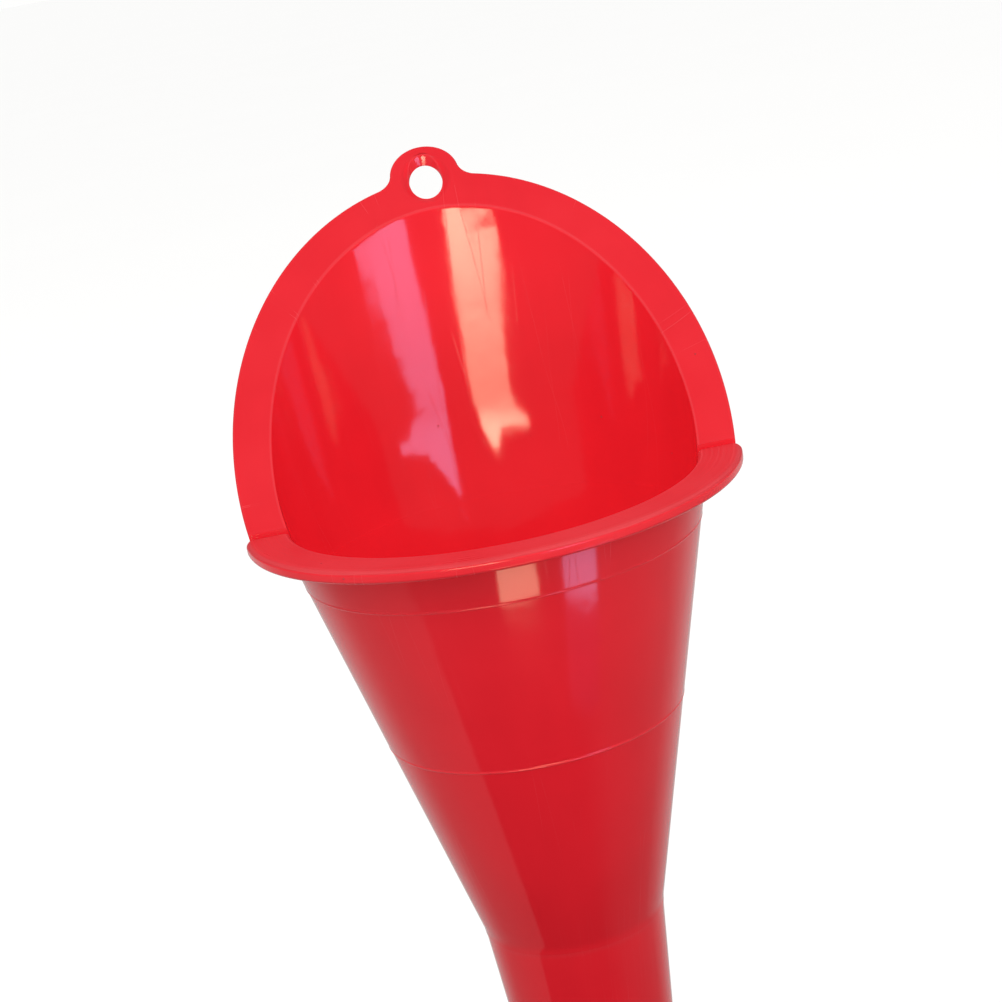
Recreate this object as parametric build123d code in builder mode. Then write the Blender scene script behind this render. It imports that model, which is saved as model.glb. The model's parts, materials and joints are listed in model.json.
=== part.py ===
"""A long-necked oil and fuel funnel with a scoop mouth, moulded in one plastic.

The moulding is divided where its form changes, so that each region is a solid of its own.
Millimetres. The origin is the centre of the outlet, +Z runs up the axis to the mouth, the
lip faces -Y and the splash shield rises on the +Y side.
"""

import os
from math import atan2, cos, degrees, radians, sin, tan

from build123d import *

# Lengths along the axis, from the outlet upward
tip_length = 12.0
neck_length = 118.4
crease_below_mouth = 93.5
crease_above_neck = 1.1
upper_line_below_mouth = 12.2
lower_line_below_mouth = 49.0

# Radii and slopes of the wall
wall = 1.4
tip_radius = 9.0
crease_radius = 19.3
bowl_radius = 43.6
shield_slope = 4.1
line_step = 0.12
crease_blend = 12.0
shield_blend = 115.0
shield_stock = 80.0

# Rim of the mouth
lip_radius = 50.4
lip_thickness = 2.5
lip_inner_round = 1.5
lip_outer_round = 0.8
lip_end_chamfer = 1.0
lip_end_chamfer_length = 3.0
rim_end_y = -4.4

# Sloping flange round the shield
flange_start_y = -5.4
flange_tilt = 45.0
flange_centre = 14.05
flange_half_width = 50.2
flange_half_length = 66.95
flange_thickness = 1.9
flange_round = 0.5

# Hanging tab, measured up the flange from its start, with a hole that runs parallel to Z
tab_centre = 82.0
tab_radius = 7.5
tab_fillet = 4.5
tab_half_width = 12.5
hole_radius = 3.6
hole_reach = 20.0
dish_centre = 80.3
dish_half_width = 5.6
dish_half_length = 6.9
dish_depth = 1.2
dish_draw_in = 0.7

# Outlet
tip_round = 0.4

# Heights worked out from the lengths
neck_top = tip_length + neck_length
crease_z = neck_top + crease_above_neck
mouth_z = crease_z + crease_below_mouth
upper_line_z = mouth_z - upper_line_below_mouth
lower_line_z = mouth_z - lower_line_below_mouth
lip_bottom_z = mouth_z - lip_thickness
above_shield_z = mouth_z + shield_stock

# Slopes worked out from the radii
bowl_run = (bowl_radius - crease_radius) / crease_below_mouth
bowl_slope = degrees(atan2(bowl_radius - crease_radius, crease_below_mouth))
blend_turn = bowl_slope - shield_slope
neck_run = (crease_radius - tip_radius) / (crease_z - tip_length)

# Planes of the flange's top face and of the lip's ends
flange_plane = Plane(
    origin=(0, flange_start_y, mouth_z),
    x_dir=(1, 0, 0),
    z_dir=(0, -sin(radians(flange_tilt)), cos(radians(flange_tilt))),
)
rim_end_plane = Plane(origin=(0, rim_end_y, mouth_z), x_dir=(1, 0, 0), z_dir=(0, 1, 0))


def bowl_outer(z):
    """Outer radius of the plain bowl cone at a height."""
    return crease_radius + bowl_run * (z - crease_z)


def neck_outer(z):
    """Outer radius of the neck cone at a height."""
    return tip_radius + neck_run * (z - tip_length)


def cone_section(z_low, r_low, z_high, r_high):
    """Section of a straight stretch of wall, from its outer radii."""
    with BuildSketch(Plane.XZ) as section:
        with BuildLine():
            Polyline(
                (r_low - wall, z_low),
                (r_low, z_low),
                (r_high, z_high),
                (r_high - wall, z_high),
                close=True,
            )
        make_face()
    return section.sketch


def shield_curve(radius_at_line):
    """Draw the bowl's last stretch: a blend from the bowl's slope to the shield's, then straight."""
    blend = JernArc(
        start=(radius_at_line, upper_line_z),
        tangent=(sin(radians(bowl_slope)), cos(radians(bowl_slope))),
        radius=shield_blend,
        arc_size=blend_turn,
    )
    rise = above_shield_z - (blend @ 1).Y
    straight = Line(blend @ 1, blend @ 1 + Vector(rise * tan(radians(shield_slope)), rise))
    return blend, straight


def shield_section():
    """Section of the wall above the upper line, up past the top of the shield."""
    outer = bowl_outer(upper_line_z) + line_step
    with BuildSketch(Plane.XZ) as section:
        with BuildLine():
            outside = shield_curve(outer)
            inside = shield_curve(outer - wall)
            Line(outside[1] @ 1, inside[1] @ 1)
            Line(outside[0] @ 0, inside[0] @ 0)
        make_face()
    return section.sketch


def shield_space():
    """Section of the room inside the wall above the upper line."""
    inner = bowl_outer(upper_line_z) + line_step - wall
    with BuildSketch(Plane.XZ) as section:
        with BuildLine():
            inside = shield_curve(inner)
            Polyline(inside[1] @ 1, (0, above_shield_z), (0, upper_line_z), inside[0] @ 0)
        make_face()
    return section.sketch


# Spout tip: the parallel end of the neck
with BuildPart() as spout_tip:
    revolve(cone_section(0, tip_radius, tip_length, tip_radius), axis=Axis.Z)
    fillet(spout_tip.edges().group_by(Axis.Z)[0], radius=tip_round)

# Neck: a long straight taper, a step narrower than the bowl at its top
with BuildPart() as neck:
    neck_top_radius = neck_outer(neck_top) - line_step
    revolve(cone_section(tip_length, tip_radius, neck_top, neck_top_radius), axis=Axis.Z)

# Lower bowl: from the second moulded line down to the rounded crease above the neck
with BuildPart() as bowl_lower:
    with BuildSketch(Plane.XZ) as lower_section:
        with BuildLine():
            line_r = bowl_outer(lower_line_z)
            Polyline(
                (neck_outer(neck_top) - wall, neck_top),
                (neck_outer(neck_top), neck_top),
                (crease_radius, crease_z),
                (line_r, lower_line_z),
                (line_r - wall, lower_line_z),
                (crease_radius - wall, crease_z),
                close=True,
            )
        make_face()
        creases = lower_section.vertices().group_by(Axis.Y)[1]
        fillet(creases, radius=crease_blend)
    revolve(axis=Axis.Z)

# Middle bowl: between the two moulded lines, a step proud of the lower bowl
with BuildPart() as bowl_middle:
    middle_low = bowl_outer(lower_line_z) + line_step / 2
    middle_high = bowl_outer(upper_line_z) + line_step / 2
    revolve(cone_section(lower_line_z, middle_low, upper_line_z, middle_high), axis=Axis.Z)

# Upper bowl: curves towards the steeper shield, up to the underside of the lip
with BuildPart() as bowl_upper:
    revolve(shield_section(), axis=Axis.Z)
    split(bisect_by=Plane.XY.offset(lip_bottom_z), keep=Keep.BOTTOM)

# Shield: the same wall carried up behind the mouth, cut off under the flange
with BuildPart() as back_shield:
    revolve(shield_section(), axis=Axis.Z)
    split(bisect_by=Plane.XY.offset(lip_bottom_z), keep=Keep.TOP)
    split(bisect_by=rim_end_plane, keep=Keep.TOP)
    split(bisect_by=flange_plane.offset(-flange_thickness), keep=Keep.BOTTOM)

# Lip: the flat half ring at the front of the mouth
with BuildPart() as front_lip:
    with BuildSketch(Plane.XY.offset(lip_bottom_z)):
        Circle(lip_radius)
    extrude(amount=lip_thickness)
    split(bisect_by=rim_end_plane, keep=Keep.BOTTOM)
    lip_ends = front_lip.edges().filter_by(Axis.Z)
    end_face = front_lip.faces().sort_by(Axis.Y)[-1]
    chamfer(lip_ends, length=lip_end_chamfer, length2=lip_end_chamfer_length, reference=end_face)
    outlines = front_lip.edges().group_by(Axis.Z)
    fillet(outlines[0].sort_by(Axis.Y)[:-1] + outlines[-1].sort_by(Axis.Y)[:-1], radius=lip_outer_round)
    revolve(shield_space(), axis=Axis.Z, mode=Mode.SUBTRACT)
    mouth_edge = front_lip.faces().sort_by(Axis.Z)[-1].edges().filter_by(GeomType.BSPLINE)
    fillet(mouth_edge, radius=lip_inner_round)

# Whole rim: the sloping flange with its tab, hollowed to the shield's inner surface
with BuildPart() as whole_rim:
    with BuildSketch(flange_plane):
        with Locations((0, flange_centre)):
            Ellipse(flange_half_width, flange_half_length)
        with Locations((0, tab_centre)):
            Circle(tab_radius)
    extrude(amount=-flange_thickness)
    upright = whole_rim.edges().filter_by(Axis(flange_plane.origin, flange_plane.z_dir))
    fillet(upright.sort_by(Axis.Z)[-2:], radius=tab_fillet)
    flats = whole_rim.faces().filter_by(flange_plane)
    fillet(flats.edges(), radius=flange_round)
    revolve(shield_space(), axis=Axis.Z, mode=Mode.SUBTRACT)
    with BuildSketch(flange_plane):
        with Locations((0, dish_centre)):
            Ellipse(dish_half_width, dish_half_length)
    with BuildSketch(flange_plane.offset(-dish_depth)):
        with Locations((0, dish_centre)):
            Ellipse(dish_half_width - dish_draw_in, dish_half_length - dish_draw_in)
    loft(mode=Mode.SUBTRACT)
    with Locations(flange_plane.from_local_coords(Vector(0, tab_centre, 0))):
        Cylinder(hole_radius, hole_reach, mode=Mode.SUBTRACT)
    split(bisect_by=rim_end_plane, keep=Keep.TOP)

# Hanging tab: the top of the rim, with the round ear and its dished hole
with BuildPart() as hanging_tab:
    add(whole_rim.part)
    split(bisect_by=Plane.YZ.offset(tab_half_width), keep=Keep.BOTTOM)
    split(bisect_by=Plane.YZ.offset(-tab_half_width), keep=Keep.TOP)

# Flanges: the rest of the rim, one on each side of the tab
with BuildPart() as left_flange:
    add(whole_rim.part)
    split(bisect_by=Plane.YZ.offset(-tab_half_width), keep=Keep.BOTTOM)

with BuildPart() as right_flange:
    add(whole_rim.part)
    split(bisect_by=Plane.YZ.offset(tab_half_width), keep=Keep.TOP)

pieces = {
    "spout_tip": spout_tip,
    "neck": neck,
    "bowl_lower": bowl_lower,
    "bowl_middle": bowl_middle,
    "bowl_upper": bowl_upper,
    "front_lip": front_lip,
    "back_shield": back_shield,
    "left_flange": left_flange,
    "right_flange": right_flange,
    "hanging_tab": hanging_tab,
}

os.makedirs("parts", exist_ok=True)
for name, piece in pieces.items():
    piece.part.label = name
    export_step(piece.part, f"parts/{name}.step")
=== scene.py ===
"""Looks of a long-necked red plastic funnel with a scoop mouth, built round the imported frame.

Metres, in the frame's axes: +Z runs up the funnel's axis, the lip faces -Y and the splash
shield rises on the +Y side. Each moulded region is one closed mesh that stands for the CAD
node of the same place. The regions meet face to face, as in one moulding.
"""

import json
import math

import bmesh
import bpy
from mathutils import Matrix, Vector


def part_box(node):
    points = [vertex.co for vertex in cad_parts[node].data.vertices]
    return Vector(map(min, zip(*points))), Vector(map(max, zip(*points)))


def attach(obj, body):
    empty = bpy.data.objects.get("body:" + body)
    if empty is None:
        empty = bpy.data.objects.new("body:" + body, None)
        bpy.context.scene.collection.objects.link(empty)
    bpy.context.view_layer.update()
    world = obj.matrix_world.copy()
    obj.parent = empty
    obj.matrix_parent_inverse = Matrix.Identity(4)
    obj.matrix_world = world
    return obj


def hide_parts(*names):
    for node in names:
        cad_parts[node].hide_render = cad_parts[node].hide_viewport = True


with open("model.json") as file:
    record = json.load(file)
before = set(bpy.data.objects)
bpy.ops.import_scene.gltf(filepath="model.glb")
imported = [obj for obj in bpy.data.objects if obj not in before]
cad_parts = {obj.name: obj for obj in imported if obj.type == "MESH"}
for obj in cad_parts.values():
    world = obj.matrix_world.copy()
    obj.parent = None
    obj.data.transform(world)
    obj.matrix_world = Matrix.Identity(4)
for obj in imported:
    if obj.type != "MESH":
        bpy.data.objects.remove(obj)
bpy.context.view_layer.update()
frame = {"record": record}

MM = 0.001

# ---------------------------------------------------------------- sizes read from the frame

tip_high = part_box("spout_tip")[1]
neck_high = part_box("neck")[1]
lower_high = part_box("bowl_lower")[1]
middle_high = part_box("bowl_middle")[1]
lip_low, lip_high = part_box("front_lip")
flange_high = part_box("right_flange")[1]
hole_mount = next(m for m in frame["record"]["mounts"] if m["name"] == "hang_hole")

spout_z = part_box("spout_tip")[0].z
tip_z = tip_high.z
neck_z = neck_high.z
lower_line_z = lower_high.z
upper_line_z = middle_high.z
lip_bottom_z = lip_low.z
mouth_z = lip_high.z
rim_end_y = lip_high.y
outer_half_x = flange_high.x
mouth_centre = Vector((0, 0, mouth_z))

# ---------------------------------------------------------------- sizes of the moulding

wall = 1.4 * MM
ripple_height = 0.016 * MM
spout_edge_round = 0.45 * MM
crease_above_neck = 1.1 * MM
crease_blend = 12 * MM
shield_slope = math.radians(4.1)
shield_blend = 115 * MM

line_step = 0.12 * MM
line_bead = 0.07 * MM
line_bead_width = 0.40 * MM
line_foot_share = 0.05
line_foot_depth = 0.75 * line_step
line_clearance = 2 * line_bead_width

lip_radius = 50.4 * MM
lip_inner_round = 1.4 * MM
lip_outer_round = 0.95 * MM
lip_under_round = 0.7 * lip_outer_round
lip_end_round = 1.0 * MM
lip_end_run = 3.0 * MM
lip_end_band = 4 * lip_outer_round

flange_tilt = math.radians(45)
flange_start_y = -5.4 * MM
flange_thickness = 1.9 * MM
flange_underside = -flange_thickness
flange_edge_round = 0.55 * MM
flange_inner_round = 0.3 * MM
flange_up = 14.05 * MM
flange_half_length = 66.95 * MM
inner_face_slack = 0.005 * MM

tab_half_width = 12.5 * MM
tab_radius = 7.5 * MM
tab_fillet = 4.5 * MM
hole_radius = hole_mount["dims"]["r_mm"] * MM
hole_round = 0.25 * MM
dish_half_width = 5.6 * MM
dish_half_length = 6.9 * MM
dish_below_tab = 1.7 * MM
dish_depth = 1.2 * MM
dish_flat_share = 0.60

# ---------------------------------------------------------------- worn edges and painted highlights on them, from 0 to 1

SPOUT_WEAR = 1.0
# On the flange's inner edge, the moulded lines and the top edges the paleness is partly painted highlight
# and partly worn plastic.
INNER_EDGE_WEAR_AND_GLINT = 0.7
NECK_TOP_WEAR = 0.5
LINE_WEAR_AND_GLINT = 0.3
LIP_INNER_WEAR = 0.35
TOP_EDGE_WEAR_AND_GLINT = 0.25
UNDER_EDGE_WEAR = 0.2
HOLE_TOP_WEAR = 0.5
HOLE_UNDER_WEAR = 0.3

# ---------------------------------------------------------------- fineness of the meshes

TURN_SEGMENTS = 288
SHIELD_COLUMNS = 240
LIP_COLUMNS = 300
FLANGE_COLUMNS = 150
TIP_ROWS = 16
NECK_ROWS = 96
WALL_ROWS = 48
UPPER_ROWS = 20
LINE_ROWS = 8
CREASE_FOOT_ROWS = 4
CREASE_ROWS = 10
LIP_ROUND_ROWS = 8
EDGE_ROWS = 6
FACE_ROWS = 24
LIP_UNDER_ROWS = 12
FLANGE_INNER_ROWS = 5
FLANGE_UNDER_ROWS = 10
TAB_HEAD_SPANS = 28
TAB_FILLET_SPANS = 14
TAB_FOOT_SPANS = 8
TAB_INNER_SPANS = 56
TAB_CUT_SPANS = 12
TAB_FACE_ROWS = 14
TAB_UNDER_ROWS = 12
DISH_ROWS = 20
HOLE_ROUND_ROWS = 4
SHARP_ANGLE = math.radians(38)
MEETING_ROUNDS = 12
SEARCH_ROUNDS = 60
DISH_ROUNDS = 24

# ---------------------------------------------------------------- the wall's profile

upper_line_r = middle_high.x - line_step / 2
lower_line_r = lower_high.x
bowl_run = (upper_line_r - lower_line_r) / (upper_line_z - lower_line_z)
bowl_slope = math.atan(bowl_run)
crease_z = neck_z + crease_above_neck
crease_r = lower_line_r - bowl_run * (lower_line_z - crease_z)
shield_foot_r = upper_line_r + line_step
shield_blend_top = upper_line_z + shield_blend * (math.sin(bowl_slope) - math.sin(shield_slope))
shield_blend_r = shield_foot_r + shield_blend * (math.cos(shield_slope) - math.cos(bowl_slope))


def shield_outer(z):
    """Outer radius above the upper line: a blend from the bowl's slope, then straight."""
    if z >= shield_blend_top:
        return shield_blend_r + (z - shield_blend_top) * math.tan(shield_slope)
    lean = math.sin(bowl_slope) - (z - upper_line_z) / shield_blend
    return shield_foot_r + shield_blend * (math.sqrt(1 - lean * lean) - math.cos(bowl_slope))


def shield_inner(z):
    """Inner radius above the upper line."""
    return shield_outer(z) - wall


# ---------------------------------------------------------------- the flange's plane

face_way = Vector((0, -math.sin(flange_tilt), math.cos(flange_tilt)))
along_flange = Vector((0, math.cos(flange_tilt), math.sin(flange_tilt)))
flange_origin = Vector((0, flange_start_y, mouth_z))
hole_y = hole_mount["pos_m"][1]
tab_up = (hole_y - flange_start_y) / along_flange.y
dish_up = tab_up - dish_below_tab


def flange_point(across, up, above):
    """A point from its place in the flange's plane and its height above that plane."""
    return flange_origin + Vector((across, 0, 0)) + up * along_flange + above * face_way


def outer_flange(angle, inset, above):
    """A point on the flange's outer ellipse, drawn in by inset, at an angle from its top."""
    across = (outer_half_x - inset) * math.sin(angle)
    up = flange_up + (flange_half_length - inset) * math.cos(angle)
    return flange_point(across, up, above)


def outer_end_angle(inset, above):
    """Angle at which the flange's outer ellipse reaches the plane of the rim's ends."""
    up = (rim_end_y - flange_start_y - above * face_way.y) / along_flange.y
    return math.acos((up - flange_up) / (flange_half_length - inset))


def wall_meets_flange(turn, above, radius_at):
    """The point where the wall's inner or outer face, at a turn round the axis, meets the flange."""
    z = mouth_z
    for _ in range(MEETING_ROUNDS):
        y = radius_at(z) * math.cos(turn)
        z = mouth_z + (above - (y - flange_start_y) * face_way.y) / face_way.z
    radius = radius_at(z)
    return Vector((radius * math.sin(turn), radius * math.cos(turn), z))


def turn_at_end(above, radius_at):
    """Turn round the axis at which the wall's face meets the flange and the rim's end plane."""
    z = mouth_z + (above - (rim_end_y - flange_start_y) * face_way.y) / face_way.z
    return math.acos(rim_end_y / radius_at(z))


def turn_at_cut(above, radius_at):
    """Turn round the axis at which the wall's face meets the flange at the tab's edge."""
    turn = 0.0
    for _ in range(MEETING_ROUNDS):
        point = wall_meets_flange(turn, above, radius_at)
        turn = math.asin(tab_half_width / radius_at(point.z))
    return turn


# ---------------------------------------------------------------- mesh helpers

def mix(a, b, share):
    """The value a share of the way from a to b."""
    return a + (b - a) * share


def steps(count):
    """Evenly spaced shares from 0 to 1, both ends included."""
    return [i / count for i in range(count + 1)]


def quarter(count):
    """Angles from 0 to a right angle, both ends included."""
    return [math.pi / 2 * share for share in steps(count)]


def between(row_a, row_b, share):
    """A row of points a share of the way from one row to another."""
    return [a.lerp(b, share) for a, b in zip(row_a, row_b)]


# Each wave is its share, its crests round the axis, its angle for each metre up, and its start.
RIPPLES = [(1.0, 3, 31, 0.6), (0.7, 5, -53, 2.1), (0.35, 11, 87, 0.0), (0.3, 2, 210, 0.0)]


def moulding_wave(point):
    """How far the real wall strays from its true form here: a slow, shallow ripple."""
    turn = math.atan2(point.x, point.y)
    return ripple_height * sum(share * math.sin(crests * turn + rise * point.z + start)
                               for share, crests, rise, start in RIPPLES)


def mark_inner_face(mesh_builder):
    """Marks the wall's inner face above the mouth as polished, which keeps painted shade off it, and the
    flange's edge there as worn, painted paler as a highlight.
    """
    wear_and_glint_layer = mesh_builder.verts.layers.float["edge_wear_and_glint"]
    polish_layer = mesh_builder.verts.layers.float["polish"]
    for vertex in [v for v in mesh_builder.verts if v.co.z > mouth_z]:
        gap = math.hypot(vertex.co.x, vertex.co.y) - shield_inner(vertex.co.z)
        above = (vertex.co - flange_origin).dot(face_way)
        if abs(gap) < inner_face_slack:
            vertex[polish_layer] = 1.0
            vertex[wear_and_glint_layer] = 0.0
        elif 0 < gap < flange_inner_round and above > -flange_inner_round:
            vertex[wear_and_glint_layer] = INNER_EDGE_WEAR_AND_GLINT


def finish_piece(name, mesh_builder, node, material):
    """Turns a bmesh into a shaded object that stands for one CAD node."""
    mark_inner_face(mesh_builder)
    for vertex in mesh_builder.verts:
        outward = Vector((vertex.co.x, vertex.co.y, 0)).normalized()
        vertex.co += outward * moulding_wave(vertex.co)
    bmesh.ops.recalc_face_normals(mesh_builder, faces=mesh_builder.faces)
    mesh = bpy.data.meshes.new(name)
    mesh_builder.to_mesh(mesh)
    mesh_builder.free()
    mesh.shade_smooth()
    mesh.set_sharp_from_angle(angle=SHARP_ANGLE)
    mesh.materials.append(material)
    piece = bpy.data.objects.new(name, mesh)
    bpy.context.scene.collection.objects.link(piece)
    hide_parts(node)
    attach(piece, "root")


def loft(rows, closed_rows):
    """A closed shell through a loop of rows. Each row is its points and how worn its edge is, which also
    sets the painted highlight there.

    Rows that are open arcs get a flat end face at each end.
    """
    builder = bmesh.new()
    wear_and_glint_layer = builder.verts.layers.float.new("edge_wear_and_glint")
    builder.verts.layers.float.new("polish")
    grid = []
    for points, wear_and_glint in rows:
        line = [builder.verts.new(point) for point in points]
        for vertex in line:
            vertex[wear_and_glint_layer] = wear_and_glint
        grid.append(line)
    count = len(grid[0])
    spans = count if closed_rows else count - 1
    for i, line in enumerate(grid):
        after = grid[(i + 1) % len(grid)]
        for j in range(spans):
            k = (j + 1) % count
            builder.faces.new((line[j], line[k], after[k], after[j]))
    if not closed_rows:
        builder.faces.new([line[0] for line in grid])
        builder.faces.new([line[-1] for line in reversed(grid)])
    return builder


# ---------------------------------------------------------------- turned pieces

def ring(radius, z):
    """A full circle of points round the axis."""
    angles = [2 * math.pi * i / TURN_SEGMENTS for i in range(TURN_SEGMENTS)]
    return [Vector((radius * math.sin(a), radius * math.cos(a), z)) for a in angles]


def turned(outline):
    """A shell turned round the axis from a closed outline of (radius, height, wear)."""
    return loft([(ring(radius, z), wear_and_glint) for radius, z, wear_and_glint in outline], closed_rows=True)


def straight(start, end, count):
    """Outline points from start to end, both included, as (radius, height, wear), with no wear."""
    return [(mix(start[0], end[0], s), mix(start[1], end[1], s), 0.0) for s in steps(count)]


def corner_round(before, corner, after, radius, count, wear_and_glint=0.0):
    """Outline points of an arc that rounds a corner between two other points."""
    centre_side = (before - corner).normalized() + (after - corner).normalized()
    half_angle = (before - corner).angle(after - corner) / 2
    reach = radius / math.tan(half_angle)
    start = corner + (before - corner).normalized() * reach
    end = corner + (after - corner).normalized() * reach
    centre = corner + centre_side.normalized() * radius / math.sin(half_angle)
    points = []
    for share in steps(count):
        spoke = (start - centre).lerp(end - centre, share).normalized() * radius
        points.append((centre.x + spoke.x, centre.y + spoke.y, wear_and_glint))
    return points


def bowl_outer(z):
    """Outer radius of the plain bowl cone."""
    return lower_line_r + bowl_run * (z - lower_line_z)


def tip_outline():
    """The parallel end of the spout, with a rounded mouth."""
    outer = tip_high.x
    bore = outer - wall
    side_start_z = mix(spout_z, tip_z, 0.1)
    bottom_out = corner_round(Vector((bore, spout_z)), Vector((outer, spout_z)), Vector((outer, tip_z)),
                              spout_edge_round, EDGE_ROWS, SPOUT_WEAR)
    bottom_in = corner_round(Vector((bore, tip_z)), Vector((bore, spout_z)), Vector((outer, spout_z)),
                             spout_edge_round, EDGE_ROWS, SPOUT_WEAR)
    side_out = straight((outer, side_start_z), (outer, tip_z), TIP_ROWS)
    side_in = straight((bore, tip_z), (bore, side_start_z), TIP_ROWS)
    return bottom_out + side_out + side_in + bottom_in


def neck_outline():
    """The neck's long straight taper."""
    outer = straight((tip_high.x, tip_z), (neck_high.x, neck_z), NECK_ROWS)
    outer[-1] = (neck_high.x, neck_z, NECK_TOP_WEAR)
    inner = straight((neck_high.x - wall, neck_z), (tip_high.x - wall, tip_z), NECK_ROWS)
    return outer + inner


def lower_outline():
    """The lower bowl, with the rounded crease above the neck."""

    def side(inset):
        foot = Vector((neck_high.x + line_step - inset, neck_z))
        crease = Vector((crease_r - inset, crease_z))
        top = Vector((lower_line_r - inset, lower_line_z))
        arc = corner_round(foot, crease, top, crease_blend, CREASE_ROWS)
        below = straight(foot, arc[0], CREASE_FOOT_ROWS)[:-1]
        return below + arc + straight(arc[-1], top, WALL_ROWS)[1:]

    return side(0) + side(wall)[::-1]


def line_edge(radius_at, z):
    """The small soft step of a moulded line, seen from outside, with a faint bead along its top."""
    points = [(radius_at(z) - line_foot_depth, z, LINE_WEAR_AND_GLINT)]
    for share in steps(LINE_ROWS):
        height = z + mix(line_foot_share, 1, share) * line_bead_width
        bead = line_bead * math.sin(math.pi * share)
        points.append((radius_at(height) + bead, height, LINE_WEAR_AND_GLINT))
    return points


def middle_outline():
    """The middle bowl, a shade proud of the lower bowl."""

    def radius_at(z):
        return bowl_outer(z) + line_step / 2

    low = radius_at(lower_line_z)
    high = radius_at(upper_line_z)
    plain_z = lower_line_z + line_clearance
    plain = straight((radius_at(plain_z), plain_z), (high, upper_line_z), WALL_ROWS)
    inner = straight((high - wall, upper_line_z), (low - wall, lower_line_z), WALL_ROWS)
    return line_edge(radius_at, lower_line_z) + plain + inner


def upper_outline():
    """The upper bowl, from the upper line to the underside of the lip."""
    heights = [mix(upper_line_z + line_clearance, lip_bottom_z, share) for share in steps(UPPER_ROWS)]
    outer = line_edge(shield_outer, upper_line_z) + [(shield_outer(z), z, 0.0) for z in heights]
    inner = [(shield_inner(z), z, 0.0) for z in reversed(heights)]
    return outer + inner + [(shield_inner(upper_line_z), upper_line_z, 0.0)]


# ---------------------------------------------------------------- shield, lip and flange

def shield_mesh():
    """The wall carried up behind the mouth, cut off under the sloping flange."""

    def row(share, radius_at):
        top_turn = turn_at_end(flange_underside, radius_at)
        end_top = wall_meets_flange(top_turn, flange_underside, radius_at)
        end_turn = math.acos(rim_end_y / radius_at(mix(lip_bottom_z, end_top.z, share)))
        points = []
        for along in steps(SHIELD_COLUMNS):
            turn = end_turn * (2 * along - 1)
            top = wall_meets_flange(turn, flange_underside, radius_at).z
            z = mix(lip_bottom_z, top, share)
            points.append(Vector((radius_at(z) * math.sin(turn), radius_at(z) * math.cos(turn), z)))
        return points

    inner = [(row(share, shield_inner), 0.0) for share in steps(WALL_ROWS)]
    outer = [(row(share, shield_outer), 0.0) for share in reversed(steps(WALL_ROWS))]
    return loft(inner + outer, closed_rows=False)


def lip_section():
    """The lip's section as (radius, height, wear), from the wall's inner foot round to its underside."""
    inner_foot = Vector((shield_inner(lip_bottom_z), lip_bottom_z))
    inner_edge = Vector((shield_inner(mouth_z), mouth_z))
    outer_top = Vector((lip_radius, mouth_z))
    outer_bottom = Vector((lip_radius, lip_bottom_z))
    inner = corner_round(inner_foot, inner_edge, outer_top, lip_inner_round, LIP_ROUND_ROWS, LIP_INNER_WEAR)
    top = corner_round(inner_edge, outer_top, outer_bottom, lip_outer_round, LIP_ROUND_ROWS, TOP_EDGE_WEAR_AND_GLINT)
    bottom = corner_round(outer_top, outer_bottom, inner_foot, lip_under_round, EDGE_ROWS, UNDER_EDGE_WEAR)
    face = straight(inner[-1], top[0], FACE_ROWS)[1:-1]
    under = straight(bottom[-1], inner_foot, LIP_UNDER_ROWS)[1:]
    return inner + face + top + bottom + under


def lip_mesh():
    """The flat half ring at the front of the mouth, with its two rounded ends."""
    rows = []
    for radius, z, wear_and_glint in lip_section():
        outward = max(0.0, (radius - (lip_radius - lip_end_band)) / lip_end_band)
        end_turn = math.acos(rim_end_y / radius)
        points = []
        for along in steps(LIP_COLUMNS):
            turn = mix(end_turn, 2 * math.pi - end_turn, along)
            from_end = min(rim_end_y - radius * math.cos(turn), lip_end_run)
            ease = 1 - math.sqrt(max(0.0, 1 - (1 - from_end / lip_end_run) ** 2))
            r = radius - lip_end_round * ease * outward
            points.append(Vector((r * math.sin(turn), min(r * math.cos(turn), rim_end_y), z)))
        rows.append((points, wear_and_glint))
    return loft(rows, closed_rows=False)


def flange_edge():
    """The rim's rounded outer edge as (inset, height above the face, wear), from face to underside."""
    top = [(flange_edge_round * (1 - math.sin(angle)), -flange_edge_round * (1 - math.cos(angle)),
            TOP_EDGE_WEAR_AND_GLINT) for angle in quarter(EDGE_ROWS)[1:]]
    under = [(flange_edge_round * (1 - math.cos(angle)),
              flange_underside + flange_edge_round * (1 - math.sin(angle)),
              UNDER_EDGE_WEAR) for angle in quarter(EDGE_ROWS)]
    return top + under


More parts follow.
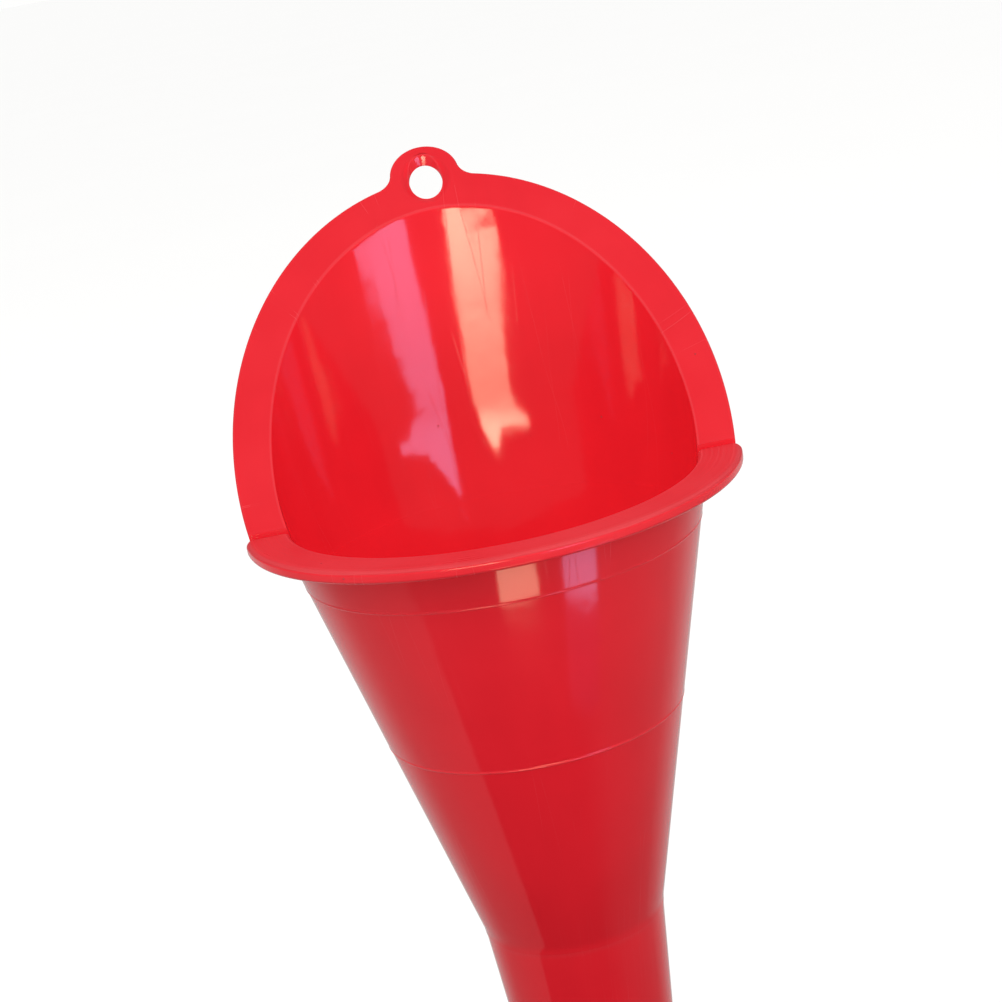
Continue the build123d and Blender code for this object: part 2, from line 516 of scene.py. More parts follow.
def flange_mesh(side):
    """One half of the sloping flange, from the lip's end to the tab."""

    def outer_row(inset, above):
        end = outer_end_angle(inset, above)
        cut = math.asin(tab_half_width / (outer_half_x - inset))
        return [outer_flange(side * mix(end, cut, along), inset, above)
                for along in steps(FLANGE_COLUMNS)]

    def inner_row(above):
        end = turn_at_end(above, shield_inner)
        cut = turn_at_cut(above, shield_inner)
        return [wall_meets_flange(side * mix(end, cut, along), above, shield_inner)
                for along in steps(FLANGE_COLUMNS)]

    edge = inner_row(0.0)
    below_edge = inner_row(-flange_inner_round)
    face_outer = outer_row(flange_edge_round, 0.0)
    inset_share = flange_inner_round / (outer_half_x - shield_inner(mouth_z))
    beside_edge = between(edge, face_outer, inset_share)
    rows = [(inner_row(mix(flange_underside, -flange_inner_round, share)), 0.0)
            for share in steps(FLANGE_INNER_ROWS)]
    for share in steps(EDGE_ROWS)[1:-1]:
        first = between(below_edge, edge, share)
        second = between(edge, beside_edge, share)
        rows.append((between(first, second, share), 0.0))
    rows += [(between(beside_edge, face_outer, share), 0.0) for share in steps(FACE_ROWS)]
    rows += [(outer_row(inset, above), wear_and_glint) for inset, above, wear_and_glint in flange_edge()]
    under_outer = rows[-1][0]
    under_inner = rows[0][0]
    rows += [(between(under_outer, under_inner, share), 0.0) for share in steps(FLANGE_UNDER_ROWS)[1:-1]]
    return loft(rows, closed_rows=False)


# ---------------------------------------------------------------- hanging tab

def nearest_on_ellipse(across, up):
    """Angle, from the ellipse's top, of the flange edge point nearest to a place in its plane."""
    low, high = 0.0, 0.6
    for _ in range(SEARCH_ROUNDS):
        third = (high - low) / 3
        distances = [math.hypot(outer_half_x * math.sin(a) - across,
                                flange_up + flange_half_length * math.cos(a) - up)
                     for a in (low + third, high - third)]
        if distances[0] < distances[1]:
            high -= third
        else:
            low += third
    return (low + high) / 2


def find_tab_fillet():
    """Centre of the fillet between the tab's round head and the flange's edge, and its foot's angle."""
    low, high = 0.2, math.pi - 0.4
    for _ in range(SEARCH_ROUNDS):
        lean = (low + high) / 2
        across = (tab_radius + tab_fillet) * math.sin(lean)
        up = tab_up + (tab_radius + tab_fillet) * math.cos(lean)
        foot = nearest_on_ellipse(across, up)
        gap = math.hypot(outer_half_x * math.sin(foot) - across,
                         flange_up + flange_half_length * math.cos(foot) - up)
        if gap > tab_fillet:
            low = lean
        else:
            high = lean
    return Vector((across, up)), foot, lean


fillet_centre, fillet_foot, fillet_lean = find_tab_fillet()


def tab_edge(inset):
    """The tab's outer edge in the flange's plane, from its middle to the right-hand cut."""
    head = [(tab_radius - inset) * Vector((math.sin(fillet_lean * s), math.cos(fillet_lean * s)))
            + Vector((0, tab_up)) for s in steps(TAB_HEAD_SPANS)]

    def on_flange(angle):
        return Vector(((outer_half_x - inset) * math.sin(angle),
                       flange_up + (flange_half_length - inset) * math.cos(angle)))

    foot = on_flange(fillet_foot)
    to_head = head[-1] - fillet_centre
    to_foot = foot - fillet_centre
    bend = []
    for share in steps(TAB_FILLET_SPANS)[1:-1]:
        spoke = to_head.lerp(to_foot, share).normalized() * mix(to_head.length, to_foot.length, share)
        bend.append(fillet_centre + spoke)
    cut = math.asin(tab_half_width / (outer_half_x - inset))
    rest = [on_flange(mix(fillet_foot, cut, share)) for share in steps(TAB_FOOT_SPANS)]
    return head + bend + rest


def inner_edge_point(turn, above):
    """A point of the tab's inner face, drawn back from the mouth where its top edge is rounded."""
    over = max(0.0, above + flange_inner_round)
    inset = flange_inner_round - math.sqrt(max(0.0, flange_inner_round ** 2 - over ** 2))
    outward = math.cos(turn) * along_flange + Vector((math.sin(turn), 0, 0))
    return wall_meets_flange(turn, above, shield_inner) + inset * outward


def tab_ring(inset, above):
    """The tab's whole outline at a level: outer edge, right cut, inner face, left cut."""
    right = [flange_point(p.x, p.y, above) for p in tab_edge(inset)]
    cut_turn = turn_at_cut(above, shield_inner)
    inner = [inner_edge_point(mix(cut_turn, -cut_turn, s), above) for s in steps(TAB_INNER_SPANS)]
    right_cut = [right[-1].lerp(inner[0], s) for s in steps(TAB_CUT_SPANS)[1:-1]]
    left = [Vector((-p.x, p.y, p.z)) for p in reversed(right)]
    left_cut = [inner[-1].lerp(left[0], s) for s in steps(TAB_CUT_SPANS)[1:-1]]
    return right + right_cut + inner + left_cut + left[:-1]


def dish_drop(across, up):
    """How far the dish round the hole lies under the flange's face."""
    reach = math.hypot(across / dish_half_width, (up - dish_up) / dish_half_length)
    share = min(1.0, max(0.0, (1 - reach) / (1 - dish_flat_share)))
    return dish_depth * share * share * (3 - 2 * share)


def tab_mesh():
    """The top of the rim: a round ear with a soft dish and a hanging hole parallel to the axis."""
    edge_top = tab_ring(flange_edge_round, 0.0)
    edge_bottom = tab_ring(flange_edge_round, flange_underside)
    spokes = []
    for point in edge_top:
        offset = point - flange_point(0, tab_up, 0)
        spokes.append(Vector((offset.x, offset.y)).normalized())

    def hole_row(grow, heights):
        """The hole's wall, widened by grow, at its own height above the flange's plane for each spoke."""
        radius = hole_radius + grow
        return [flange_point(radius * s.x, tab_up + above + radius * s.y / along_flange.y, above)
                for s, above in zip(spokes, heights)]

    def dish_brim():
        """The dish's outline, seen from the hole along each spoke."""
        points = []
        for spoke in spokes:
            way = Vector((spoke.x / dish_half_width, spoke.y / along_flange.y / dish_half_length))
            start = Vector((0, (tab_up - dish_up) / dish_half_length))
            ahead = start.dot(way)
            reach = (math.sqrt(ahead ** 2 + way.length_squared * (1 - start.length_squared))
                     - ahead) / way.length_squared
            points.append(flange_point(reach * spoke.x, tab_up + reach * spoke.y / along_flange.y, 0))
        return points

    def drops(points):
        """How far the dish lies under each point of the flange's face."""
        return [dish_drop(p.x, (p - flange_origin).dot(along_flange)) for p in points]

    def dished(points):
        """Points of the flange's face, lowered into the dish."""
        return [p - face_way * drop for p, drop in zip(points, drops(points))]

    edge_heights = [0.0] * len(spokes)
    for _ in range(DISH_ROUNDS):
        edge_heights = [-drop for drop in drops(hole_row(hole_round, edge_heights))]
    brim = dish_brim()
    hole_edge = [p - face_way * above for p, above in zip(hole_row(hole_round, edge_heights), edge_heights)]
    rows = [(dished(between(edge_top, brim, share)), 0.0) for share in steps(TAB_FACE_ROWS)]
    rows += [(dished(between(brim, hole_edge, share)), 0.0) for share in steps(DISH_ROWS)[1:]]
    for angle in quarter(HOLE_ROUND_ROWS)[1:]:
        heights = [above - hole_round * (1 - math.cos(angle)) for above in edge_heights]
        rows.append((hole_row(hole_round * (1 - math.sin(angle)), heights), HOLE_TOP_WEAR))
    for angle in quarter(HOLE_ROUND_ROWS)[1:]:
        heights = [flange_underside + hole_round * (1 - math.sin(angle))] * len(spokes)
        rows.append((hole_row(hole_round * (1 - math.cos(angle)), heights), HOLE_UNDER_WEAR))
    hole_bottom = rows[-1][0]
    rows += [(between(hole_bottom, edge_bottom, share), 0.0) for share in steps(TAB_UNDER_ROWS)[1:]]
    rows += [(tab_ring(inset, above), wear_and_glint) for inset, above, wear_and_glint in reversed(flange_edge()[:-1])]
    return loft(rows, closed_rows=True)


# ---------------------------------------------------------------- material

WALL_ROUGHNESS = 0.085
PLASTIC_IOR = 1.49

DEEP_RED = (0.80, 0.0148, 0.0258, 1)
LIGHT_RED = (0.88, 0.0168, 0.0298, 1)
FLOW_RED = (0.90, 0.019, 0.032, 1)
# Pale red of worn edges and scuffs, also painted as highlight along some edges.
RUBBED_AND_GLINT_RED = (0.86, 0.12, 0.14, 1)
RING_RED = (0.88, 0.09, 0.11, 1)
# Pale red of the lip's dust, partly painted sheen on faces that look up.
DUST_AND_SHEEN_RED = (0.90, 0.13, 0.16, 1)
DIRT = (0.16, 0.01, 0.012, 1)
BLACK = (0.0, 0.0, 0.0, 1)

# Texture scales, in cells for each metre. Flow marks are long and run down the funnel.
CLOUD_SCALE = 22
RIPPLE_SCALE = 120
FLOW_SCALE = (95, 95, 9)
GRAIN_SCALE = 2600
RING_SCALE = 2300
DUST_AND_SHEEN_SCALE = 75
SPECK_SCALE = 260
SCUFF_PATCH_SCALE = (70, 70, 26)
SCUFF_DRIFT_SCALE = 14
RING_DRIFT_SCALE = 60

# How far the lip's rings wander from true circles.
RING_DRIFT = 0.9 * MM

# Depths of the relief.
RIPPLE_DEPTH = 0.08 * MM
FLOW_DEPTH = 0.05 * MM
GRAIN_DEPTH = 0.004 * MM
SCUFF_DEPTH = 0.01 * MM
SPECK_DEPTH = 0.06 * MM
RING_DEPTH = 0.02 * MM

# How strongly each mark shows in the colour, and how much it adds to the roughness.
FLOW_TINT = 0.35
WEAR_AND_GLINT_PALENESS = 0.20
SCUFF_PALENESS = 0.10
SPECK_DARKNESS = 0.55
WEAR_ROUGHNESS = 0.08
SCUFF_ROUGHNESS = 0.20
SPECK_ROUGHNESS = 0.3

# Scuff lines come in two families, each with its lines for each radian of turn and for each metre
# up. Their half width is a share of the space between two lines.
SCUFF_FAMILIES = ((5.0, 12.0), (7.0, -9.0))
SCUFF_HALF_WIDTH = 0.010

# A speck's radii are shares of a cell, and only the cells whose random value is over the limit
# have one.
SPECK_INNER, SPECK_OUTER = 0.03, 0.07
SPECK_LIMIT = 0.93

# The upward share of the normal at which a face starts to be duller and darker, and at which it is fully
# so. The darkening is painted shade.
DULL_AND_SHADE_FROM, DULL_AND_SHADE_FULL = 0.2, 0.6


class Nodes:
    """The node tree of a material or a world, built with one short call for each node."""

    def __init__(self, owner):
        owner.use_nodes = True
        self.owner = owner
        is_world = isinstance(owner, bpy.types.World)
        self.output_kind = "ShaderNodeOutputWorld" if is_world else "ShaderNodeOutputMaterial"
        self.tree = owner.node_tree
        self.tree.nodes.clear()

    def add(self, kind, settings=None, **inputs):
        """Adds a node. Inputs are values or other nodes' sockets, by input name."""
        node = self.tree.nodes.new(kind)
        for key, value in (settings or {}).items():
            setattr(node, key, value)
        for key, value in inputs.items():
            self.put(node.inputs[key.replace("_", " ")], value)
        return node

    def put(self, socket, value):
        """Links a socket to another socket, or sets its value."""
        if isinstance(value, bpy.types.NodeSocket):
            self.tree.links.new(value, socket)
        else:
            socket.default_value = value

    def math(self, operation, *values):
        """A math node's result."""
        node = self.add("ShaderNodeMath", {"operation": operation})
        for socket, value in zip(node.inputs, values):
            self.put(socket, value)
        return node.outputs[0]

    def noise(self, vector, scale, detail=2.0, roughness=0.5, dimensions="3D"):
        """A noise texture's value."""
        node = self.add("ShaderNodeTexNoise", {"noise_dimensions": dimensions})
        self.put(node.inputs["W" if dimensions == "1D" else "Vector"], vector)
        self.put(node.inputs["Scale"], scale)
        self.put(node.inputs["Detail"], detail)
        self.put(node.inputs["Roughness"], roughness)
        return node.outputs["Fac"]

    def stretched(self, vector, scale):
        """Coordinates multiplied by a factor along each axis."""
        return self.add("ShaderNodeMapping", Vector=vector, Scale=scale).outputs[0]

    def band(self, value, low, high, out_low=0.0, out_high=1.0):
        """A value's range mapped smoothly to another range."""
        node = self.add("ShaderNodeMapRange", {"interpolation_type": "SMOOTHSTEP"})
        self.put(node.inputs["Value"], value)
        self.put(node.inputs["From Min"], low)
        self.put(node.inputs["From Max"], high)
        self.put(node.inputs["To Min"], out_low)
        self.put(node.inputs["To Max"], out_high)
        return node.outputs["Result"]

    def tint(self, share, a, b):
        """A colour between two colours."""
        node = self.add("ShaderNodeMix", {"data_type": "RGBA"})
        colour_a, colour_b = [socket for socket in node.inputs if socket.type == "RGBA"]
        self.put(node.inputs["Factor"], share)
        self.put(colour_a, a)
        self.put(colour_b, b)
        return next(socket for socket in node.outputs if socket.type == "RGBA")

    def length(self, vector):
        """A vector's length."""
        node = self.add("ShaderNodeVectorMath", {"operation": "LENGTH"})
        self.put(node.inputs[0], vector)
        return node.outputs["Value"]

    def parts(self, vector):
        """A vector's X, Y and Z sockets, by name."""
        return self.add("ShaderNodeSeparateXYZ", Vector=vector).outputs

    def surface(self, shader):
        """Links a shader to the material's or the world's output."""
        self.put(self.add(self.output_kind).inputs["Surface"], shader.outputs[0])

    def bump(self, height, distance, strength, normal=None):
        """The normal of a relief that is this deep in metres, laid over another normal if given."""
        node = self.add("ShaderNodeBump", Height=height, Distance=distance, Strength=strength)
        if normal is not None:
            self.put(node.inputs["Normal"], normal)
        return node.outputs[0]


def scratches(nodes, where):
    """Hair-thin scuffs: nearly straight, faint lines that run mostly down the wall, here and there."""
    parts = nodes.parts(where)
    turn = nodes.math("ARCTAN2", parts["X"], parts["Y"])
    drift = nodes.noise(where, SCUFF_DRIFT_SCALE)
    lines = []
    for per_turn, per_metre in SCUFF_FAMILIES:
        across = nodes.math("ADD", nodes.math("MULTIPLY", turn, per_turn),
                            nodes.math("MULTIPLY", parts["Z"], per_metre))
        across = nodes.math("FRACT", nodes.math("ADD", across, drift))
        off_line = nodes.math("ABSOLUTE", nodes.math("SUBTRACT", across, 0.5))
        lines.append(nodes.band(off_line, 0.0, SCUFF_HALF_WIDTH, 1.0, 0.0))
    patches = nodes.band(nodes.noise(nodes.stretched(where, SCUFF_PATCH_SCALE), 1.0), 0.47, 0.60)
    return nodes.math("MULTIPLY", nodes.math("MAXIMUM", *lines), patches)


def specks(nodes, where):
    """Sparse pin-head pits and dust marks."""
    cells = nodes.add("ShaderNodeTexVoronoi", Vector=where, Scale=SPECK_SCALE)
    near = nodes.band(cells.outputs["Distance"], SPECK_INNER, SPECK_OUTER, 1.0, 0.0)
    pick = nodes.add("ShaderNodeSeparateColor", Color=cells.outputs["Color"]).outputs["Red"]
    return nodes.math("MULTIPLY", near, nodes.math("GREATER_THAN", pick, SPECK_LIMIT))


def red_plastic(name, dull_roughness, shade=1.0, streaks=0.0, paleness=0.0):
    """Glossy moulded polypropylene, duller on faces that look up, which get rubbed, and darker there as
    painted shade.

    dull_roughness is the roughness of faces that look up, and shade is the share of their colour that is
    kept: painted shade that darkens them. streaks is the strength of the lip's fine rings, and paleness
    that of its dust and painted sheen on faces that look up.
    """
    nodes = Nodes(bpy.data.materials.new(name))
    where = nodes.add("ShaderNodeTexCoord").outputs["Object"]
    wear_and_glint = nodes.add("ShaderNodeAttribute", {"attribute_name": "edge_wear_and_glint"}).outputs["Fac"]
    polish = nodes.add("ShaderNodeAttribute", {"attribute_name": "polish"}).outputs["Fac"]
    facing = nodes.parts(nodes.add("ShaderNodeNewGeometry").outputs["Normal"])
    # Faces that look up, apart from the polished inner face: rougher, and darker as painted shade.
    dull_and_shaded = nodes.math("MULTIPLY", nodes.band(facing["Z"], DULL_AND_SHADE_FROM, DULL_AND_SHADE_FULL),
                      nodes.math("SUBTRACT", 1.0, polish))
    cloud = nodes.noise(where, CLOUD_SCALE, detail=3.0, roughness=0.55)
    flow = nodes.noise(nodes.stretched(where, FLOW_SCALE), 1.0, detail=3.0)
    grain = nodes.noise(where, GRAIN_SCALE)
    scuff = scratches(nodes, where)
    pits = specks(nodes, where)

    colour = nodes.tint(nodes.band(cloud, 0.3, 0.7), DEEP_RED, LIGHT_RED)
    colour = nodes.tint(nodes.band(flow, 0.35, 0.75, 0.0, FLOW_TINT), colour, FLOW_RED)
    # Painted shade: faces that look up are darkened towards black, against the stronger light from above.
    colour = nodes.tint(nodes.math("MULTIPLY", dull_and_shaded, 1 - shade), colour, BLACK)
    # Worn edges and scuffs are paler; along some edges the paleness is painted highlight.
    pale = nodes.math("ADD", nodes.math("MULTIPLY", wear_and_glint, WEAR_AND_GLINT_PALENESS),
                      nodes.math("MULTIPLY", scuff, SCUFF_PALENESS))
    colour = nodes.tint(pale, colour, RUBBED_AND_GLINT_RED)
    colour = nodes.tint(nodes.math("MULTIPLY", pits, SPECK_DARKNESS), colour, DIRT)

    rough = nodes.band(dull_and_shaded, 0.0, 1.0, WALL_ROUGHNESS, dull_roughness)
    rough = nodes.math("MULTIPLY", rough, nodes.band(cloud, 0.3, 0.75, 0.75, 1.3))
    for mark, added in ((scuff, SCUFF_ROUGHNESS), (wear_and_glint, WEAR_ROUGHNESS), (pits, SPECK_ROUGHNESS)):
        rough = nodes.math("ADD", rough, nodes.math("MULTIPLY", mark, added))

    normal = nodes.bump(nodes.noise(where, RIPPLE_SCALE), RIPPLE_DEPTH, 0.6)
    normal = nodes.bump(flow, FLOW_DEPTH, 0.5, normal)
    normal = nodes.bump(grain, GRAIN_DEPTH, 0.5, normal)
    normal = nodes.bump(nodes.math("MULTIPLY", scuff, -1.0), SCUFF_DEPTH, 0.6, normal)
    normal = nodes.bump(nodes.math("MULTIPLY", pits, -1.0), SPECK_DEPTH, 0.8, normal)

    if streaks:
        from_axis = nodes.length(nodes.stretched(where, (1, 1, 0)))
        drift = nodes.math("MULTIPLY", nodes.noise(where, RING_DRIFT_SCALE), RING_DRIFT)
        rings = nodes.noise(nodes.math("ADD", from_axis, drift), RING_SCALE, detail=4.0,
                            roughness=0.6, dimensions="1D")
        ringed = nodes.math("MULTIPLY", nodes.band(rings, 0.45, 0.75, 0.0, streaks), dull_and_shaded)
        colour = nodes.tint(ringed, colour, RING_RED)
        rough = nodes.math("ADD", rough, nodes.band(rings, 0.3, 0.8, 0.0, streaks * 0.3))
        normal = nodes.bump(rings, RING_DEPTH, 0.8, normal)
    if paleness:
        # Pale dust on the lip's faces that look up, partly painted sheen there.
        dust_and_sheen = nodes.noise(where, DUST_AND_SHEEN_SCALE, detail=3.0)
        dust_and_sheen = nodes.band(dust_and_sheen, 0.3, 0.75, paleness * 0.5, paleness)
        colour = nodes.tint(nodes.math("MULTIPLY", dust_and_sheen, dull_and_shaded), colour, DUST_AND_SHEEN_RED)

    nodes.surface(nodes.add("ShaderNodeBsdfPrincipled", Base_Color=colour, Roughness=rough,
                            Normal=normal, IOR=PLASTIC_IOR))
    return nodes.owner


# ---------------------------------------------------------------- stage

# How bright the room and the floor look in reflections.
ROOM_NEAR = 0.03
ROOM_FRONT = 0.17
ROOM_SIDE = 0.29
ROOM_BEHIND = 0.50

WHITE = (1.0, 1.0, 1.0)
WARM = (1.0, 0.80, 0.54, 1)
COOL = (0.46, 0.60, 1.03, 1)

FLOOR_HALF = 60.0
FLOOR_GREY = (0.890, 0.890, 0.890, 1)
FLOOR_PALE = (0.900, 0.900, 0.900, 1)
WINDOW_Y = -2.0
CARD_HEIGHT = 20 * MM
UPLIGHT_SIZE = 60 * MM
UPLIGHT_SPREAD = math.radians(22)

# The pale part of the floor, as reflections see it: a straight edge on the left, given by the way
# across it and where it starts and ends, and a fan on the right, given by turns from the front.
PALE_EDGE_WAY = (-0.432, 0.902)
PALE_EDGE_START, PALE_EDGE_END = -0.030, -0.022
PALE_RIGHT_START, PALE_RIGHT_FULL, PALE_BEHIND_FULL = [math.radians(angle) for angle in (22, 62, 130)]
BEHIND_START, BEHIND_FULL = math.radians(105), math.radians(140)

# The windows' outlines, as (across, up) in the plane of the windows.
WARM_WINDOW = [(0.02, 0.02), (-0.78, 0.02), (-0.86, 0.116), (-0.99, 0.19), (-1.16, 0.250),
               (-1.16, 0.278), (-0.50, 0.300), (-0.43, 0.34), (-0.32, 0.43), (-0.20, 0.37),
               (-0.12, 0.302), (-0.075, 0.215), (-0.035, 0.127)]
COOL_WINDOW = [(0.545, 0.02), (0.545, 0.12), (0.595, 0.25), (0.60, 0.38), (0.63, 0.69),
               (0.70, 0.68), (1.02, 0.48), (1.30, 0.34), (2.10, 0.28), (2.10, 0.205),
               (1.62, 0.185), (1.54, 0.125), (1.485, 0.103), (1.19, 0.055), (1.0, 0.02)]

# The low cards' corners, as (across, forward) on the floor in front of the funnel.
WARM_CARD = [(-0.039, -0.222), (0.055, -0.222), (0.070, -0.300), (-0.041, -0.305)]
COOL_CARD = [(0.110, -0.200), (0.178, -0.152), (0.236, -0.216), (0.150, -0.274)]
HAZE_CARD = [(0.075, -0.165), (0.135, -0.130), (0.178, -0.152), (0.110, -0.200)]


def emission_card(name, corners, colour, strength, fade=None):
    """A glowing card that only reflections see, like a window or a softbox in a studio.

    fade is two heights and how many times the strength the upper one has.
    """
    mesh = bpy.data.meshes.new(name)
    mesh.from_pydata([Vector(corner) for corner in corners], [], [list(range(len(corners)))])
    nodes = Nodes(bpy.data.materials.new(name))
    if fade:
        low, high, times = fade
        height = nodes.parts(nodes.add("ShaderNodeNewGeometry").outputs["Position"])["Z"]
        strength = nodes.band(height, low, high, strength, strength * times)
    nodes.surface(nodes.add("ShaderNodeEmission", Color=colour, Strength=strength))
    mesh.materials.append(nodes.owner)
    card = bpy.data.objects.new(name, mesh)
    bpy.context.scene.collection.objects.link(card)
    card.visible_camera = False
    card.visible_diffuse = False
    card.visible_transmission = False
    card.visible_shadow = False


def window(name, outline, colour, strength, fade):
    """A glowing window that stands in front of the funnel."""
    emission_card(name, [(x, WINDOW_Y, z) for x, z in outline], colour, strength, fade)


def low_card(name, outline, colour, strength):
    """A glowing card that lies just over the floor."""
    emission_card(name, [(x, y, spout_z + CARD_HEIGHT) for x, y in outline], colour, strength)


def floor_glow(nodes, place, distance):
    """How bright the floor looks in reflections: dark close in front, paler at the sides and behind.

    The pale part has a straight edge on the left, and it is lost in the room further out.
    """
    parts = nodes.parts(place)
    past_edge = nodes.math("ADD", nodes.math("MULTIPLY", parts["X"], PALE_EDGE_WAY[0]),
                           nodes.math("MULTIPLY", parts["Y"], PALE_EDGE_WAY[1]))
    left = nodes.band(past_edge, PALE_EDGE_START, PALE_EDGE_END)
    turn = nodes.math("ARCTAN2", parts["X"], nodes.math("MULTIPLY", parts["Y"], -1.0))
    right = nodes.math("ADD", nodes.band(turn, PALE_RIGHT_START, PALE_RIGHT_FULL, 0.0, 0.55),
                       nodes.band(turn, PALE_RIGHT_FULL, PALE_BEHIND_FULL, 0.0, 0.35))
    share = nodes.math("MULTIPLY", nodes.math("MAXIMUM", left, right),
                       nodes.band(distance, 0.8, 2.5, 1.0, 0.0))
    front = nodes.band(distance, 0.17, 0.30, ROOM_NEAR, ROOM_FRONT)
    side = nodes.band(nodes.math("ABSOLUTE", turn), BEHIND_START, BEHIND_FULL, ROOM_SIDE, ROOM_BEHIND)
    gain = nodes.math("SUBTRACT", side, front)
    return nodes.math("ADD", front, nodes.math("MULTIPLY", share, gain))


def make_floor():
    """A plain pale floor, wide enough to fill the view. It bounces little light near the funnel."""
    mesh = bpy.data.meshes.new("floor")
    corners = [(-FLOOR_HALF, -FLOOR_HALF), (FLOOR_HALF, -FLOOR_HALF),
               (FLOOR_HALF, FLOOR_HALF), (-FLOOR_HALF, FLOOR_HALF)]
    mesh.from_pydata([Vector((x, y, spout_z)) for x, y in corners], [], [(0, 1, 2, 3)])
    nodes = Nodes(bpy.data.materials.new("pale_floor"))
    place = nodes.add("ShaderNodeNewGeometry").outputs["Position"]
    distance = nodes.length(place)
    rays = nodes.add("ShaderNodeLightPath").outputs
    plain = nodes.tint(nodes.noise(place, 3.0), FLOOR_GREY, FLOOR_PALE)
    colour = nodes.tint(rays["Is Diffuse Ray"], plain, nodes.band(distance, 0.2, 1.1, 0.0, 0.88))
    colour = nodes.tint(rays["Is Glossy Ray"], colour, floor_glow(nodes, place, distance))
    nodes.surface(nodes.add("ShaderNodeBsdfDiffuse", Color=colour))
    mesh.materials.append(nodes.owner)
    floor = bpy.data.objects.new("floor", mesh)
    bpy.context.scene.collection.objects.link(floor)


def make_world():
    """Soft white light from all round, stronger from above.

    The camera sees it at full white or brighter, and reflections see a dimmer room.
    """
    nodes = Nodes(bpy.data.worlds.new("studio"))
    bpy.context.scene.world = nodes.owner
    height = nodes.parts(nodes.add("ShaderNodeTexCoord").outputs["Generated"])["Z"]
    rays = nodes.add("ShaderNodeLightPath").outputs
    from_above = nodes.band(height, 0.0, 0.8, 0.54, 1.21)
    seen = nodes.math("MAXIMUM", from_above, rays["Is Camera Ray"])
    open_air = nodes.add("ShaderNodeBackground", Color=(1.0, 0.998, 0.990, 1), Strength=seen)
    room = nodes.add("ShaderNodeBackground", Color=(0.92, 0.95, 1.0, 1), Strength=ROOM_FRONT)
    choose = nodes.add("ShaderNodeMixShader")
    for socket, value in zip(choose.inputs, (rays["Is Glossy Ray"], open_air.outputs[0], room.outputs[0])):
        nodes.put(socket, value)
    nodes.surface(choose)


def soft_light(name, place, aim, size, power, colour, spread=math.pi):
    """An area light that gives form but leaves no highlight of its own."""
    data = bpy.data.lights.new(name, "AREA")
    data.shape = "DISK"
    data.size = size
    data.energy = power
    data.color = colour
    data.spread = spread
    light = bpy.data.objects.new(name, data)
    bpy.context.scene.collection.objects.link(light)
    light.location = place
    light.rotation_mode = "QUATERNION"
    light.rotation_quaternion = (Vector(aim) - Vector(place)).to_track_quat("-Z", "Y")
    light.visible_camera = False
    light.visible_glossy = False


def make_lights():
    """Windows and low cards for the reflections, and soft lights for the form."""
    window("warm_window", WARM_WINDOW, WARM, strength=7.2, fade=(0.08, 0.30, 2.4))
    window("cool_window", COOL_WINDOW, COOL, strength=4.4, fade=(0.06, 0.28, 1.2))
    low_card("warm_softbox", WARM_CARD, WARM, strength=6.2)
    low_card("cool_softbox", COOL_CARD, COOL, strength=4.2)
    low_card("cool_haze", HAZE_CARD, COOL, strength=0.32)
    soft_light("key", (-0.5, -1.1, 1.7), mouth_centre, size=1.2, power=9.6, colour=(1.0, 0.98, 0.95))
    soft_light("fill", (0.9, -0.9, 0.7), mouth_centre, size=1.0, power=2.2, colour=(0.93, 0.96, 1.0))
    under_lip = mouth_centre - Vector((0, 30, 10)) * MM
    for name, x, power in (("left_uplight", -0.35, 0.0038), ("right_uplight", 0.35, 0.0052)):
        soft_light(name, (x, -0.35, 0.03), under_lip, UPLIGHT_SIZE, power, WHITE, UPLIGHT_SPREAD)


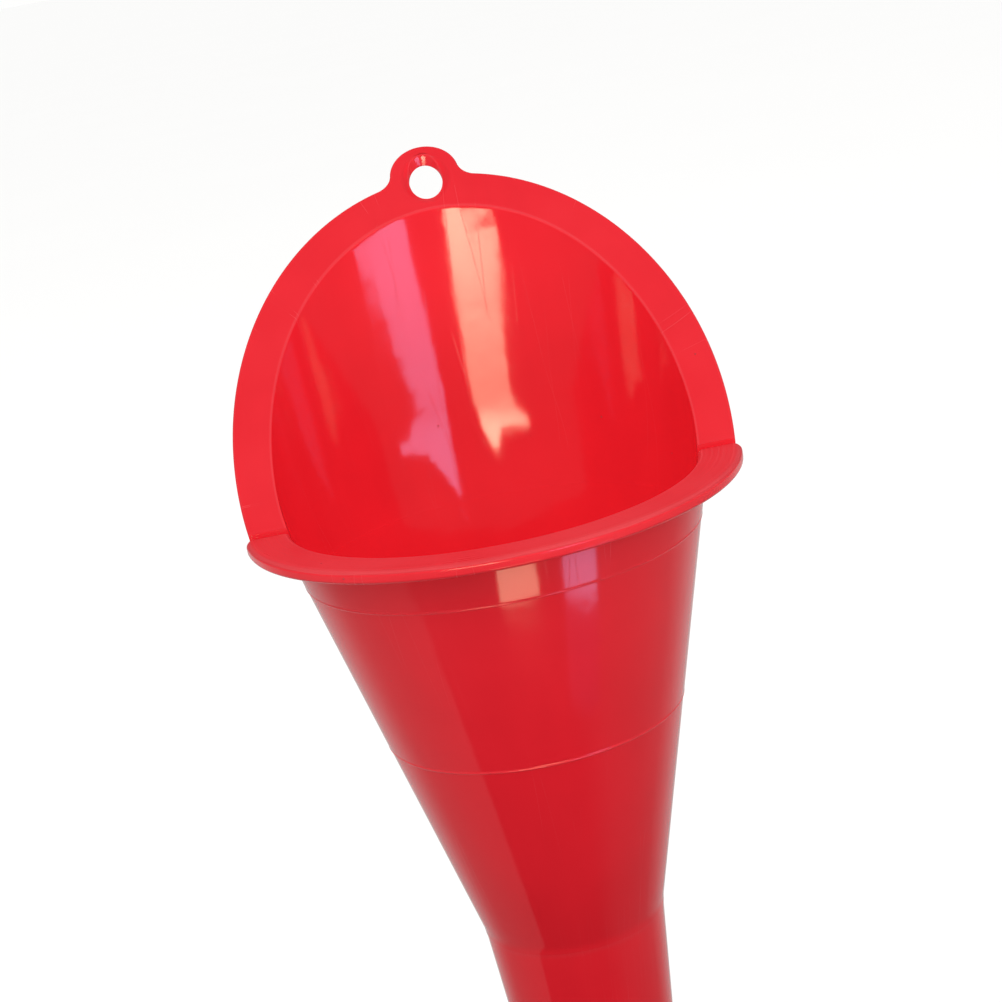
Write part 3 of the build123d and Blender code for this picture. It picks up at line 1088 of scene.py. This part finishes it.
def make_camera():
    """The photograph's view: from the front, a little above and left, tipped to one side."""
    azimuth = math.radians(-1.796)
    elevation = math.radians(15.134)
    roll = math.radians(-10.946)
    distance = 437.8 * MM
    aim = mouth_centre + Vector((1.2, -0.9, -3.2)) * MM
    back = Vector((math.sin(azimuth) * math.cos(elevation),
                   -math.cos(azimuth) * math.cos(elevation), math.sin(elevation)))
    level_right = Vector((math.cos(azimuth), math.sin(azimuth), 0))
    level_up = back.cross(level_right)
    right = level_right * math.cos(roll) + level_up * math.sin(roll)
    up = back.cross(right)
    data = bpy.data.cameras.new("camera")
    data.sensor_width = 36
    data.lens = 78.5
    data.clip_start = 0.01
    data.clip_end = 200
    camera = bpy.data.objects.new("camera", data)
    bpy.context.scene.collection.objects.link(camera)
    turn = Matrix((right, up, back)).transposed()
    camera.matrix_world = Matrix.Translation(aim + back * distance) @ turn.to_4x4()
    bpy.context.scene.camera = camera


# ---------------------------------------------------------------- build

make_camera()
make_world()
make_lights()
make_floor()

wall_plastic = red_plastic("wall_plastic", dull_roughness=WALL_ROUGHNESS)
# Flange and lip are copies whose faces that look up are darkened by shade, which is painted shade; their
# roughness and marks differ too.
flange_plastic = red_plastic("flange_plastic", dull_roughness=0.17, shade=0.83)
lip_plastic = red_plastic("lip_plastic", dull_roughness=0.32, shade=0.74, streaks=0.40, paleness=0.05)

finish_piece("tip_wall", turned(tip_outline()), "spout_tip", wall_plastic)
finish_piece("neck_wall", turned(neck_outline()), "neck", wall_plastic)
finish_piece("lower_wall", turned(lower_outline()), "bowl_lower", wall_plastic)
finish_piece("middle_wall", turned(middle_outline()), "bowl_middle", wall_plastic)
finish_piece("upper_wall", turned(upper_outline()), "bowl_upper", wall_plastic)
finish_piece("shield_wall", shield_mesh(), "back_shield", wall_plastic)
finish_piece("lip_ring", lip_mesh(), "front_lip", lip_plastic)
finish_piece("flange_left_half", flange_mesh(-1), "left_flange", flange_plastic)
finish_piece("flange_right_half", flange_mesh(1), "right_flange", flange_plastic)
finish_piece("tab_ear", tab_mesh(), "hanging_tab", flange_plastic)

view_settings = bpy.context.scene.view_settings
view_settings.view_transform = "Standard"

bpy.context.view_layer.update()
